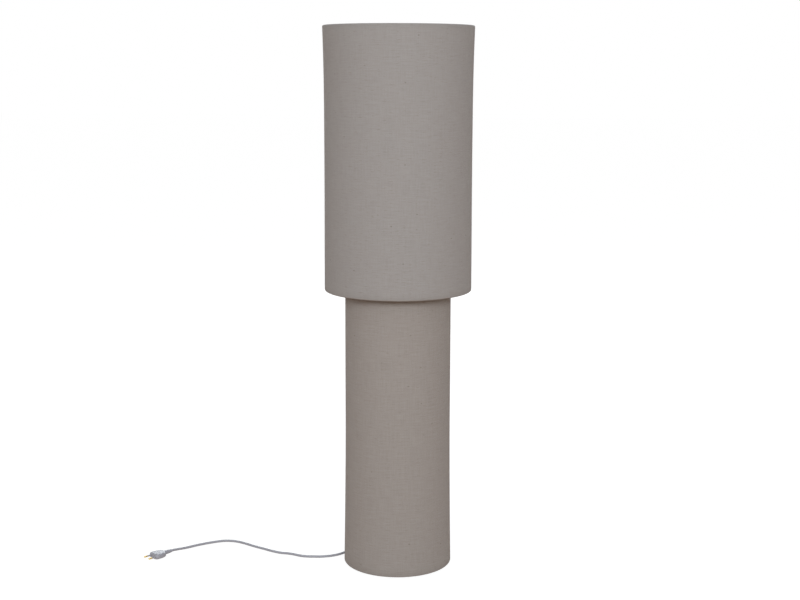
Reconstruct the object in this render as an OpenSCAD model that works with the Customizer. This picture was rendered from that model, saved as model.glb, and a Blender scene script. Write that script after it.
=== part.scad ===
// Column floor lamp: a fabric column on a steel base, with a wider fabric drum shade round its top.
// Millimetres. Origin on the floor at the column's centre, +Z up, front of the lamp towards -Y.

/* [Lamp] */
// Height from the floor to the shade's top rim
lamp_h = 1280; // [1150:5:1450]

/* [Shade] */
// Height of the shade
shade_h = 612; // [520:1:700]
// Outside width of the shade at its top rim
shade_d = 350; // [320:1:400]
// How much narrower the shade is at its waist
shade_waist_in = 7; // [0:0.5:12]
// How much narrower the shade is at its bottom rim
shade_bottom_in = 4; // [0:0.5:10]
// How far the shade reaches down past the column's top edge
shade_overlap = 44; // [25:1:60]

/* [Column] */
// Outside width of the column at its foot
column_d = 258; // [235:1:290]
// How much narrower the column is at its top edge
column_top_in = 9; // [0:0.2:14]
// How much narrower the column is at its waist
column_waist_in = 8.6; // [0:0.2:14]
// Height of the waist, where the column starts to widen to its foot
column_waist_z = 360; // [250:10:450]

/* [Drum walls] */
// Thickness of the linen
fabric_t = 0.7; // [0.5:0.1:1.2]
// Thickness of the stiff liner that the linen is glued to
liner_t = 0.6; // [0.4:0.1:1]
// Thickness of the wire of rings, spokes and arms
wire_d = 4; // [3:0.2:5]
// How far the linen is turned in under a rim
turn_in = 10; // [8:1:16]

/* [Base] */
// Thickness of the steel base plate
plate_t = 8; // [6:1:12]
// Height of the felt pads under the plate
pad_h = 3; // [2:0.5:5]
// Width of a felt pad
pad_d = 24; // [16:1:32]
// Number of felt pads
pad_count = 4; // [3:1:6]

/* [Tube] */
// Outside width of the centre tube
tube_d = 16; // [14:0.5:20]
// Wall of the centre tube
tube_wall = 2; // [1.5:0.1:2.5]
// Width of the hollow threaded nipples at the tube's ends
nipple_d = 10; // [10:0.5:11]

/* [Lampholder] */
// Width of the holder's skirt
skirt_d = 39.6; // [38:0.2:40]
// Width of the bulb's screw cap
bulb_cap_d = 26.4; // [26:0.1:26.8]
// Width of the bulb's globe
bulb_d = 60; // [50:1:70]
// Length of the bulb from its contact to its crown
bulb_l = 108; // [100:1:125]

/* [Cord] */
// Width of the round cord
cord_d = 6; // [5:0.1:6]
// Direction of the outlet, turned from the right towards the back
outlet_angle = 55; // [50:1:60]

/* [Foot switch] */
// Length of the switch's housing
switch_l = 72; // [66:1:76]
// Width of the switch's housing
switch_w = 34; // [32:1:40]
// Height of the switch's housing
switch_h = 20; // [18:0.5:24]
// Width of the push button
button_d = 24; // [20:0.5:26]
// How far the push button travels
button_travel = 3; // [2:0.2:3.2]

/* [Plug] */
// Distance between the plug's two pins
pin_spacing = 19; // [18:0.5:20]
// Width of a pin
pin_d = 4; // [3.8:0.1:4.2]
// Length of a pin
pin_l = 19; // [17:0.5:20]

/* [Hidden] */
$fn = 96;

linen = [0.62, 0.58, 0.55];
liner_white = [0.93, 0.92, 0.9];
steel = [0.66, 0.67, 0.69];
white_plastic = [0.86, 0.86, 0.88];
dark_plastic = [0.2, 0.2, 0.21];

glue_gap = 0.1;         // film between glued layers
slip = 0.2;             // clearance of a shaft in its bore, over the width
cut = 1;                // how far a cutting solid runs past a face
wire_r = wire_d / 2;
cord_r = cord_d / 2;

// ---- Drum walls: linen over a liner, rolled round a wire ring at each rim ----

// The linen, liner, ring and turned-in linen lie side by side under one half-round lip
lip_r = (2 * fabric_t + liner_t + wire_d + 3 * glue_gap) / 2;
arc_steps = 12;
wall_steps = 24;

shade_z0 = lamp_h - shade_h;
shade_waist_z = shade_z0 + 0.56 * shade_h;
column_z0 = 2;                              // the hem hangs clear of the floor
column_z1 = shade_z0 + shade_overlap;

// A drum is [bottom z, top z, bottom width, waist width, top width, waist z, curve below, curve above]
shade_drum = [shade_z0, lamp_h, shade_d - shade_bottom_in, shade_d - shade_waist_in, shade_d,
    shade_waist_z, 2, 3];
column_drum = [column_z0, column_z1, column_d, column_d - column_waist_in, column_d - column_top_in,
    column_waist_z, 1.6, 2];
foot_r = column_d / 2;

function drum_r(d, z) = let (below = z < d[5], end = below ? d[0] : d[1],
    grow = (below ? d[2] : d[4]) - d[3], share = (d[5] - z) / (d[5] - end))
    (d[3] + grow * pow(share, below ? d[6] : d[7])) / 2;
function lip_z(d, top) = top ? d[1] - lip_r : d[0] + lip_r;
function wire_ring_r(d, top) =
    drum_r(d, lip_z(d, top)) - fabric_t - liner_t - 2 * glue_gap - wire_r;
function liner_inner_r(d, z) = drum_r(d, z) - fabric_t - glue_gap - liner_t;

// Outline of a sheet of thickness t that follows a path of [r, z] points
function side(path, w) = [for (i = [0:len(path) - 1])
    let (a = path[max(i - 1, 0)], b = path[min(i + 1, len(path) - 1)], t = (b - a) / norm(b - a))
    path[i] + w * [-t[1], t[0]]];
function reversed(v) = [for (i = [len(v) - 1:-1:0]) v[i]];
function sheet(path, t) = concat(side(path, t / 2), reversed(side(path, -t / 2)));

// Path of one rolled rim, from the wall round the ring to the turned-in edge
function rim_path(d, top) =
    let (s = top ? 1 : -1, zc = lip_z(d, top), r0 = drum_r(d, zc), rc = r0 - lip_r,
        lr = lip_r - fabric_t / 2, back = 1.5 * fabric_t + liner_t + 2 * glue_gap)
    concat([for (i = [0:arc_steps]) let (a = 180 * i / arc_steps)
            [rc + lr * cos(a), zc + s * lr * sin(a)]],
        [[rc - lr, zc - s * wire_r],
         [drum_r(d, zc - s * 6) - back, zc - s * 6],
         [drum_r(d, zc - s * turn_in) - back, zc - s * turn_in]]);
function wall_path(d, inset, overrun) =
    let (z0 = lip_z(d, false) - overrun, z1 = lip_z(d, true) + overrun)
    [for (i = [0:wall_steps]) let (z = z0 + (z1 - z0) * i / wall_steps) [drum_r(d, z) - inset, z]];

module linen_drum(d) {
    wall = wall_path(d, fabric_t / 2, -1);
    rotate_extrude()
        polygon(sheet(concat(reversed(rim_path(d, false)), wall, rim_path(d, true)), fabric_t));
}

module liner_drum(d) {
    rotate_extrude() polygon(sheet(wall_path(d, fabric_t + glue_gap + liner_t / 2, 0.2), liner_t));
}

module wire_ring(d, top) {
    rotate_extrude() translate([wire_ring_r(d, top), lip_z(d, top)]) circle(r = wire_r);
}

// The lapped joint of the linen, up the back of a drum: a strip sunk a little into the wall
seam_w = 12;
seam_rise = fabric_t / 2;
seam_sink = fabric_t / 4;
module seam(d, angle) {
    r = d[3] / 2;
    turn = seam_w / r * 180 / PI;
    rotate([0, 0, angle - turn / 2]) rotate_extrude(angle = turn)
        polygon(sheet(wall_path(d, (seam_sink - seam_rise) / 2, -6), seam_rise + seam_sink));
}
seam_angle = 78;

// ---- Places along the height ----

plate_z0 = pad_h;
plate_z1 = plate_z0 + plate_t;
plate_r = drum_r(column_drum, column_z0 + lip_r) - 2 * lip_r - 0.4;
outlet_d = cord_d + 4;
outlet_z = column_z0 + lip_r + turn_in + outlet_d / 2 + 1.85;   // just over the turned-in linen
nut_h = 4;
thin_nut_h = 3;
nut_af = 1.6 * nipple_d;
washer_t = 1.5;
spoke_z = lip_z(column_drum, true);
tube_z1 = spoke_z - washer_t / 2;
nut_z0 = tube_z1 + washer_t;
holder_z0 = nut_z0 + nut_h;
cap_boss_h = 9;                     // height of the holder's threaded boss

// ---- Base ----

web_t = 3;                          // steel left over the recess for the nut
recess_z = plate_z1 - web_t;
pad_circle_r = plate_r - pad_d / 2 - 8;
grip_r = 72;                        // distance of the cord grip from the lamp's axis
grip_l = 12;
grip_w = 28;
grip_screw_y = 9;
grip_screw_d = 3;
grip_parting = 0.4;

module base_plate() color(steel) difference() {
    rotate_extrude() polygon([[0, plate_z0], [plate_r - 1, plate_z0], [plate_r, plate_z0 + 1],
        [plate_r, plate_z1 - 1], [plate_r - 1, plate_z1], [0, plate_z1]]);
    translate([0, 0, plate_z0 - cut]) cylinder(d = nipple_d + 2 * slip, h = plate_t + 2 * cut);
    translate([0, 0, plate_z0 - cut]) cylinder(d = nut_af + 12, h = recess_z - plate_z0 + cut);
    rotate([0, 0, outlet_angle]) for (s = [-1, 1])
        translate([grip_r, s * grip_screw_y, plate_z0 - cut])
            cylinder(d = grip_screw_d + 0.1, h = plate_t + 2 * cut);
}

module base_pads() color([0.3, 0.28, 0.26]) for (i = [0:pad_count - 1])
    rotate([0, 0, 45 + 360 * i / pad_count]) translate([pad_circle_r, 0, 0])
        cylinder(d = pad_d, h = pad_h);

module hollow_rod(d, bore, z0, z1) {
    translate([0, 0, z0]) difference() {
        cylinder(d = d, h = z1 - z0);
        translate([0, 0, -cut]) cylinder(d = bore, h = z1 - z0 + 2 * cut);
    }
}

module hex_nut(af, bore, z0, h) {
    translate([0, 0, z0]) difference() {
        intersection() {
            cylinder(d = af / cos(30), h = h, $fn = 6);
            rotate_extrude() polygon([[0, 0], [af / 2, 0], [af / 2 + 1, 0.8], [af / 2 + 1, h - 0.8],
                [af / 2, h], [0, h]]);
        }
        translate([0, 0, -cut]) cylinder(d = bore, h = h + 2 * cut);
    }
}

module base_washer() color(steel)
    hollow_rod(nut_af + 8, nipple_d + slip, recess_z - washer_t, recess_z);
module base_nut() color(steel)
    hex_nut(nut_af, nipple_d + slip, recess_z - washer_t - thin_nut_h, thin_nut_h);

nipple_bore = cord_d + 1.4;
socket_l = 20;                      // narrowed, threaded length at each end of the tube
module base_nipple() color(steel)
    hollow_rod(nipple_d, nipple_bore, recess_z - washer_t - thin_nut_h + 0.3, plate_z1 + socket_l - 4);
module top_nipple() color(steel)
    hollow_rod(nipple_d, nipple_bore, tube_z1 - socket_l + 4, holder_z0 + cap_boss_h - 1);

cord_bend_r = 30;
tube_bore = tube_d - 2 * tube_wall;
slot_w = cord_d + 2;
module centre_tube() color(steel) difference() {
    translate([0, 0, plate_z1]) cylinder(d = tube_d, h = tube_z1 - plate_z1);
    translate([0, 0, plate_z1 - cut]) cylinder(d = nipple_d + slip, h = tube_z1 - plate_z1 + 2 * cut);
    translate([0, 0, plate_z1 + socket_l])
        cylinder(d = tube_bore, h = tube_z1 - plate_z1 - 2 * socket_l);
    // the cord rises into the tube through a slot above the nipple
    rotate([0, 0, outlet_angle]) translate([0, 0, tube_slot_z0]) {
        translate([0, -slot_w / 2, 0]) cube([tube_d, slot_w, tube_slot_l]);
        rotate([0, 90, 0]) cylinder(d = slot_w, h = tube_d);
        translate([0, 0, tube_slot_l]) rotate([0, 90, 0]) cylinder(d = slot_w, h = tube_d);
    }
}

module column_nut() color(steel) hex_nut(nut_af, nipple_d + slip, nut_z0, nut_h);

// ---- Column ----

spoke_angles = [90, 210, 330];
hub_d = nut_af + 12;

module notches(d, top, w) {
    // openings in the turned-in linen, where the spokes or arms leave the ring
    s = top ? -1 : 1;
    zc = lip_z(d, top);
    z0 = top ? zc - turn_in - cut : zc - wire_r - slip;
    for (a = spoke_angles) rotate([0, 0, a])
        translate([drum_r(d, zc) - 2 * lip_r - 2 * cut, -w / 2, z0])
            cube([lip_r + 2 * cut, w, turn_in + cut + wire_r + slip]);
}

module column_spider() color(steel) {
    wire_ring(column_drum, true);
    for (a = spoke_angles) rotate([0, 0, a]) translate([nut_af / 2 + 2, 0, spoke_z])
        rotate([0, 90, 0])
            cylinder(d = wire_d, h = wire_ring_r(column_drum, true) - nut_af / 2 - 2);
    hollow_rod(hub_d, nipple_d + slip, tube_z1, nut_z0);
}

module column_bottom_ring() color(steel) wire_ring(column_drum, false);

module outlet_hole() {
    rotate([0, 0, outlet_angle]) translate([foot_r - 24, 0, outlet_z])
        rotate([0, 90, 0]) cylinder(d = outlet_d, h = 60);
}

module column_liner() color(liner_white) difference() {
    liner_drum(column_drum);
    outlet_hole();
}

module column_fabric() color(linen) difference() {
    union() {
        linen_drum(column_drum);
        seam(column_drum, seam_angle + 45);
    }
    outlet_hole();
    notches(column_drum, true, wire_d + 2);
}

// ---- Cord inside the lamp ----

wall_r = drum_r(column_drum, outlet_z - 8);
grommet_l = 30;
grommet_tip_r = wall_r + grommet_l;
grip_split = outlet_z - grip_parting / 2;
grip_bar_h = cord_r + 2.4;

module grip_holes(z0, h) {
    rotate([0, 90, 0]) translate([0, 0, -grip_l]) cylinder(d = cord_d + 0.1, h = 2 * grip_l);
    for (s = [-1, 1]) translate([0, s * grip_screw_y, z0 - outlet_z])
        cylinder(d = grip_screw_d + slip, h = h);
}

module cord_grip() color(dark_plastic) rotate([0, 0, outlet_angle]) translate([grip_r, 0, 0])
    difference() {
        translate([-grip_l / 2, -grip_w / 2, plate_z1]) cube([grip_l, grip_w, grip_split - plate_z1]);
        translate([0, 0, outlet_z]) grip_holes(plate_z1 - cut, grip_split);
    }

module cord_grip_bar() color(dark_plastic) rotate([0, 0, outlet_angle]) translate([grip_r, 0, 0])
    difference() {
        intersection() {
            translate([-grip_l / 2, -grip_w / 2, grip_split + grip_parting])
                cube([grip_l, grip_w, grip_bar_h]);
            translate([-grip_l, 0, outlet_z - grip_w * 0.8]) rotate([0, 90, 0])
                cylinder(r = grip_w * 0.8 + grip_bar_h, h = 2 * grip_l);
        }
        translate([0, 0, outlet_z]) grip_holes(outlet_z - cut, grip_bar_h + 3 * cut);
    }

bar_flat_z = grip_split + grip_parting + grip_bar_h;
module cord_grip_screws() color(steel) rotate([0, 0, outlet_angle]) for (s = [-1, 1])
    translate([grip_r, s * grip_screw_y, 0]) {
        translate([0, 0, plate_z0 + 1])
            cylinder(d = grip_screw_d, h = bar_flat_z + slip - plate_z0 - 1);
        translate([0, 0, bar_flat_z + slip / 2]) difference() {
            rotate_extrude() polygon([[0, 0], [2.8, 0], [2.8, 0.9], [2, 2], [0, 2]]);
            translate([-3, -0.4, 1.2]) cube([6, 0.8, 2]);
        }
    }

// Sleeve of the grommet outside the wall: rings with slits between them, thinner to the tip
sleeve_rings = 6;
function sleeve_r(share) = outlet_d / 2 + 1 - 2.2 * share;
module wall_grommet() color(white_plastic) rotate([0, 0, outlet_angle])
    translate([0, 0, outlet_z]) rotate([0, 90, 0]) difference() {
        wall_in = liner_inner_r(column_drum, outlet_z + 8);
        flange_r = outlet_d / 2 + 3;
        ring_l = (grommet_l - 4) / sleeve_rings;
        union() {
            translate([0, 0, wall_in - 3]) cylinder(r = outlet_d / 2 + 1.6, h = 2.6);
            translate([0, 0, wall_in - 1]) cylinder(d = outlet_d - slip, h = wall_r - wall_in + 2);
            translate([0, 0, wall_r + slip]) rotate_extrude()
                polygon([[0, 0], [flange_r, 0], [flange_r, 1.2], [flange_r - 0.8, 2], [0, 2]]);
            translate([0, 0, wall_r]) cylinder(r1 = sleeve_r(0) - 1, r2 = sleeve_r(1) - 0.6, h = grommet_l);
            for (i = [0:sleeve_rings - 1]) let (z = wall_r + 4 + i * ring_l)
                translate([0, 0, z]) cylinder(r1 = sleeve_r(i / sleeve_rings),
                    r2 = sleeve_r((i + 0.6) / sleeve_rings), h = 0.6 * ring_l);
        }
        translate([0, 0, wall_in - 5]) cylinder(d = cord_d + slip, h = grommet_l + 40);
    }

// The cord runs from the outlet to the tube, bends up and ends in the lampholder's cap
tube_slot_z0 = outlet_z + 5;
tube_slot_l = 12;
inner_cord_z1 = holder_z0 + cap_boss_h + 6;
module inner_cord() color(white_plastic) rotate([0, 0, outlet_angle]) {
    translate([cord_bend_r, 0, outlet_z]) rotate([0, 90, 0])
        cylinder(r = cord_r, h = grommet_tip_r - cord_bend_r);
    translate([cord_bend_r, 0, outlet_z + cord_bend_r]) rotate([90, 0, 0])
        rotate_extrude(angle = 90, start = 180) translate([cord_bend_r, 0]) circle(r = cord_r);
    translate([0, 0, outlet_z + cord_bend_r])
        cylinder(r = cord_r, h = inner_cord_z1 - outlet_z - cord_bend_r);
}

// ---- Lampholder ----

cap_boss_d = nipple_d + 6;
cap_h = 28;
cap_wall = 2;
skirt_z0 = holder_z0 + cap_h - 6;
skirt_h = 38;
skirt_z1 = skirt_z0 + skirt_h;
cap_dome_r = skirt_d / 2 + 0.8;

module holder_cap() color(white_plastic) translate([0, 0, holder_z0]) difference() {
    rotate_extrude() union() {
        polygon([[0, 0], [cap_boss_d / 2, 0], [cap_boss_d / 2, cap_boss_h - 3],
            [cap_boss_d / 2 + 3, cap_boss_h - 1], [cap_dome_r - 5, cap_boss_h],
            [cap_dome_r - 1.4, cap_boss_h + 1.6], [cap_dome_r, cap_boss_h + 5],
            [cap_dome_r, cap_h - 6], [skirt_d / 2 - 2.4, cap_h - 6], [skirt_d / 2 - 2.4, cap_h],
            [0, cap_h]]);
    }
    translate([0, 0, -cut]) cylinder(d = nipple_d + slip, h = cap_h);
    translate([0, 0, cap_boss_h + cap_wall]) rotate_extrude()
        polygon([[0, 0], [cap_dome_r - 8, 0], [cap_dome_r - 5, 4], [cap_dome_r - 5, cap_h], [0, cap_h]]);
}

module holder_skirt() color(white_plastic) translate([0, 0, skirt_z0]) rotate_extrude()
    polygon([[skirt_d / 2 - 2.2, 0], [skirt_d / 2, 0], [skirt_d / 2, skirt_h - 0.8],
        [skirt_d / 2 - 0.8, skirt_h], [bulb_cap_d / 2 + 1.8, skirt_h],
        [bulb_cap_d / 2 + 1.8, skirt_h - 3], [skirt_d / 2 - 2.2, skirt_h - 5]]);

insert_z0 = holder_z0 + cap_h + 0.1;
insert_h = 9;
shell_t = 0.5;
shell_h = 19;
shell_z0 = insert_z0 + insert_h;
shell_r = bulb_cap_d / 2 + 0.4;
module holder_insert() color([0.93, 0.91, 0.86]) translate([0, 0, insert_z0]) difference() {
    rotate_extrude() polygon([[0, 0], [skirt_d / 2 - 3.4, 0], [skirt_d / 2 - 3.4, insert_h - 2],
        [skirt_d / 2 - 4.4, insert_h], [0, insert_h]]);
    translate([-3.4, -5.4, insert_h - 3]) cube([6.8, 10.8, 4]);
    for (s = [-1, 1]) translate([s * 9, 0, -cut]) cylinder(d = 3.4, h = insert_h + 2 * cut);
}

module holder_thread_shell() color([0.8, 0.72, 0.5]) translate([0, 0, shell_z0]) difference() {
    union() {
        cylinder(r = shell_r + shell_t, h = shell_h);
        for (i = [0:3]) translate([0, 0, 3 + 3.6 * i]) rotate_extrude()
            polygon([[shell_r, 0], [shell_r + shell_t, 0], [shell_r + shell_t + 0.5, 0.9],
                [shell_r + shell_t, 1.8], [shell_r, 1.8]]);
    }
    translate([0, 0, shell_t]) cylinder(r = shell_r, h = shell_h);
    translate([0, 0, -cut]) cylinder(r = 9, h = 3);
}

contact_l = 10;
module holder_contact() color([0.8, 0.72, 0.5]) translate([0, 0, shell_z0 - 3]) {
    translate([-3, -contact_l / 2, 0]) cube([6, contact_l, 0.5]);
    translate([-3, contact_l / 2 - 0.5, 0]) cube([6, 0.5, 4]);
    translate([-3, -contact_l / 2 + 2, 3.5]) cube([6, contact_l - 2, 0.5]);
}

// ---- Rings that clamp the shade's fitter on the skirt ----

fitter_t = 1.5;
fitter_d = skirt_d + 27;
shade_nut_h = 7;
shade_nut_d = skirt_d + 16;
fitter_z0 = skirt_z0 + 5 + shade_nut_h;

module shade_nut(z0, lip_up) {
    grips = 24;
    r = shade_nut_d / 2;
    translate([0, 0, z0]) difference() {
        rotate_extrude() polygon([[skirt_d / 2 + slip / 2, 0], [r - 1, 0], [r, 1], [r, shade_nut_h - 1],
            [r - 1, shade_nut_h], [skirt_d / 2 + slip / 2, shade_nut_h]]);
        for (i = [0:grips - 1]) rotate([0, 0, 360 * i / grips])
            translate([r + 0.6, 0, lip_up ? 2 : -cut]) cylinder(r = 1.4, h = shade_nut_h - 2 + cut, $fn = 24);
    }
}
module lower_shade_nut() color(white_plastic) shade_nut(fitter_z0 - shade_nut_h, false);
module upper_shade_nut() color(white_plastic) shade_nut(fitter_z0 + fitter_t, true);

// ---- Bulb ----

tip_z = shell_z0 + 1.2;
cap_l = 24;
collar_l = 26;
globe_r = bulb_d / 2;
globe_z = tip_z + bulb_l - globe_r;
collar_r = 0.31 * bulb_d;
rim_r = 0.4 * bulb_d;
rim_z = globe_z - sqrt(pow(globe_r, 2) - pow(rim_r, 2));

module bulb_cap() color(steel) translate([0, 0, tip_z]) union() {
    cylinder(d = 9, h = 2);
    rotate_extrude() polygon([[0, 1], [6, 1], [bulb_cap_d / 2 - 1, 5], [bulb_cap_d / 2 - 1, cap_l],
        [0, cap_l]]);
    for (i = [0:3]) translate([0, 0, 6 + 3.6 * i]) rotate_extrude()
        polygon([[0, 0], [bulb_cap_d / 2 - 1.1, 0], [bulb_cap_d / 2, 0.9], [bulb_cap_d / 2 - 1.1, 1.8],
            [0, 1.8]]);
}

body_z0 = tip_z + cap_l;
function flare(share) = bulb_cap_d / 2 - 0.6 + (rim_r - bulb_cap_d / 2 + 0.6) * (1 - cos(90 * share));
module bulb_body() color(liner_white) rotate_extrude() polygon(concat([[0, body_z0]],
    [for (i = [0:8]) [flare(i / 8), body_z0 + (rim_z - body_z0) * i / 8]], [[0, rim_z]]));

module bulb_globe() color([0.97, 0.97, 0.95]) intersection() {
    translate([0, 0, globe_z]) sphere(r = globe_r);
    translate([0, 0, rim_z]) cylinder(r = bulb_d, h = 2 * bulb_d);
}

// ---- Shade ----

arm_bend_r = 14;
module shade_carrier() color(steel) {
    ring_r = wire_ring_r(shade_drum, false);
    leg_r = ring_r - 1.4 * wire_r;
    ring_z = lip_z(shade_drum, false);
    arm_z = fitter_z0 + fitter_t / 2;
    wire_ring(shade_drum, false);
    for (a = spoke_angles) rotate([0, 0, a]) {
        translate([leg_r, 0, ring_z]) cylinder(d = wire_d, h = arm_z - arm_bend_r - ring_z);
        translate([leg_r - arm_bend_r, 0, arm_z - arm_bend_r]) rotate([90, 0, 0])
            rotate_extrude(angle = 90) translate([arm_bend_r, 0]) circle(r = wire_r);
        translate([fitter_d / 2 - 3, 0, arm_z]) rotate([0, 90, 0])
            cylinder(d = wire_d, h = leg_r - arm_bend_r - fitter_d / 2 + 3);
    }
    hollow_rod(fitter_d, skirt_d + 2 * slip, fitter_z0, fitter_z0 + fitter_t);
}

module shade_top_ring() color(steel) wire_ring(shade_drum, true);
module shade_liner() color(liner_white) liner_drum(shade_drum);
module shade_fabric() color(linen) difference() {
    union() {
        linen_drum(shade_drum);
        seam(shade_drum, seam_angle);
    }
    notches(shade_drum, false, wire_d + 2);
}

// ---- Foot switch ----

switch_x = -44;                     // the switch lies on the floor behind the column
switch_y = foot_r + 86;
nozzle_z = 9;
nozzle_l = 4;
shell_wall = 2;
parting = 0.1;
switch_end = switch_l / 2 + nozzle_l;
flange_h = 1.5;
cover_top_t = 2;
button_rest_z = switch_h - cover_top_t - flange_h - 0.1;
button_hole_d = button_d + 0.6;
button_dome = 5.5;
spring_d = 9;
spring_wire = 0.9;
post_d = 6.5;

module rounded_block(l, w, r, z0, z1) {
    translate([0, 0, z0]) linear_extrude(height = z1 - z0) union() {
        square([l - 2 * r, w], center = true);
        square([l, w - 2 * r], center = true);
        for (x = [-1, 1], y = [-1, 1])
            translate([x * (l / 2 - r), y * (w / 2 - r)]) circle(r = r);
    }
}

module at_switch() translate([switch_x, switch_y, 0]) children();

module switch_nozzles() {
    for (turn = [0, 180]) rotate([0, 0, turn])
        translate([switch_l / 2 - 1, 0, nozzle_z]) rotate([0, 90, 0])
            cylinder(r1 = cord_r + 3, r2 = cord_r + 1.6, h = nozzle_l + 1);
}
module switch_bores() {
    translate([-switch_l, 0, nozzle_z]) rotate([0, 90, 0])
        cylinder(d = cord_d + slip, h = 2 * switch_l);
}
screw_x = switch_l / 2 - 9;
switch_corner = switch_w / 2 - 4;

module switch_base() color(white_plastic) at_switch() difference() {
    union() {
        difference() {
            union() {
                rounded_block(switch_l, switch_w, switch_corner, 0, nozzle_z);
                intersection() {
                    switch_nozzles();
                    translate([-switch_l, -switch_w, 0]) cube([2 * switch_l, 2 * switch_w, nozzle_z]);
                }
            }
            rounded_block(switch_l - 2 * shell_wall, switch_w - 2 * shell_wall,
                switch_corner - shell_wall, 2, nozzle_z + cut);
        }
        // seat of the spring and stop of the button
        translate([0, 0, 1]) cylinder(d = spring_d - 2 * spring_wire - 0.6, h = 6);
        for (s = [-1, 1]) translate([s * screw_x, s * 8, 1]) cylinder(d = post_d, h = nozzle_z - 1);
    }
    switch_bores();
    for (s = [-1, 1]) translate([s * screw_x, s * 8, -cut]) {
        cylinder(d = 3.2, h = nozzle_z + 2 * cut);
        cylinder(d = 5.8, h = 3 + cut);
    }
}

module switch_cover() color(white_plastic) at_switch() difference() {
    crown_r = 60;
    union() {
        difference() {
            intersection() {
                union() {
                    rounded_block(switch_l, switch_w, switch_corner, nozzle_z + parting, switch_h);
                    intersection() {
                        switch_nozzles();
                        translate([-switch_l, -switch_w, nozzle_z + parting])
                            cube([2 * switch_l, 2 * switch_w, nozzle_z]);
                    }
                }
                translate([-switch_l, 0, switch_h - crown_r]) rotate([0, 90, 0])
                    cylinder(r = crown_r, h = 2 * switch_l);
            }
            rounded_block(switch_l - 2 * shell_wall, switch_w - 2 * shell_wall,
                switch_corner - shell_wall, nozzle_z, switch_h - cover_top_t - 2.4);
            translate([0, 0, nozzle_z]) cylinder(d = button_d + 5.2, h = switch_h - cover_top_t - nozzle_z);
        }
        for (s = [-1, 1]) translate([s * screw_x, s * 8, nozzle_z + parting])
            cylinder(d = post_d, h = switch_h - cover_top_t - nozzle_z - 2);
        translate([0, 0, switch_h - cover_top_t]) rotate_extrude()
            polygon([[0, 0], [button_d / 2 + 3.4, 0], [button_d / 2 + 2.2, 2.8],
                [button_d / 2 + 1.2, 3.2], [0, 3.2]]);
    }
    translate([0, 0, nozzle_z]) cylinder(d = button_hole_d, h = switch_h);
    switch_bores();
    for (s = [-1, 1]) translate([s * screw_x, s * 8, nozzle_z - cut]) cylinder(d = 2.5, h = 6 + cut);
}

module switch_button() color([0.8, 0.8, 0.82]) at_switch() difference() {
    r = button_d / 2;
    top = switch_h + button_dome;
    rotate_extrude() polygon(concat([[0, button_rest_z], [r + 2, button_rest_z],
        [r + 2, button_rest_z + flange_h], [r, button_rest_z + flange_h]],
        [for (i = [0:6]) let (a = 15 * i)
            [r * (0.86 + 0.14 * cos(a)), top - 3.4 + 2.2 * sin(a)]],
        [[r * 0.45, top - 0.4], [0, top]]));
    // hollow for the spring
    translate([0, 0, button_rest_z - cut]) cylinder(d = spring_d + 2, h = 6 + cut);
}

spring_turns = 5;
spring_z0 = 2 + spring_wire / 2 + 0.1;
spring_z1 = button_rest_z + 6 - spring_wire / 2 - 0.1;
spring_rings = 12;
function spring_point(i) =
    let (n = spring_turns * spring_rings, a = 360 * i / spring_rings, share = i / n,
        flat = 0.14, rise = max(0, min(1, (share - flat) / (1 - 2 * flat))))
    [(spring_d - spring_wire) / 2 * cos(a), (spring_d - spring_wire) / 2 * sin(a),
        spring_z0 + spring_wire * (share < flat ? share / flat : 1)
        + (spring_z1 - spring_z0 - 2.2 * spring_wire) * rise
        + spring_wire * 1.2 * max(0, (share - 1 + flat) / flat)];
module switch_spring() color(steel) at_switch()
    tube([for (i = [0:spring_turns * spring_rings]) spring_point(i)], spring_wire / 2, 6);

module switch_contacts() color([0.8, 0.72, 0.5]) at_switch() for (s = [-1, 1])
    translate([s * 19, -s * 6, 0]) {
        translate([-4, -2.5, 2]) cube([8, 5, 0.8]);
        translate([-s * 4 - 0.4, -2.5, 2]) cube([0.8, 5, 8]);
        translate([min(-s * 4, -s * 8) , -2.5, 9.2]) cube([4, 5, 0.8]);
    }

module switch_screws() color(steel) at_switch() for (s = [-1, 1])
    translate([s * screw_x, s * 8, 0.6]) {
        cylinder(d = 5.2, h = 2.3);
        cylinder(d = 2.4, h = nozzle_z + 4);
    }

// ---- Free cord, on the floor ----

function unit(v) = v / norm(v);
function tangent(p, i) = unit(p[min(i + 1, len(p) - 1)] - p[max(i - 1, 0)]);
function tube_ring(c, t, r, n) = let (s = unit(cross(t, [0, 0, 1])), u = cross(s, t))
    [for (k = [0:n - 1]) c + r * (cos(360 * k / n) * s + sin(360 * k / n) * u)];
module tube(p, r, n) {
    m = len(p);
    points = [for (i = [0:m - 1]) each tube_ring(p[i], tangent(p, i), r, n)];
    walls = [for (i = [0:m - 2], k = [0:n - 1])
        let (a = i * n + k, b = i * n + (k + 1) % n) each [[a, b + n, b], [a, a + n, b + n]]];
    start = [for (k = [1:n - 2]) [0, k, k + 1]];
    end = [for (k = [1:n - 2]) (m - 1) * n * [1, 1, 1] + [0, k + 1, k]];
    polyhedron(points = points, faces = concat(walls, start, end));
}

plug_t = 13.7;
plug_turn = 225;
plug_entry = [-foot_r - 430, 37, plug_t / 2];
outward = [cos(outlet_angle), sin(outlet_angle), 0];
grommet_tip = grommet_tip_r * outward + [0, 0, outlet_z];
cord_sides = 10;

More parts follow.
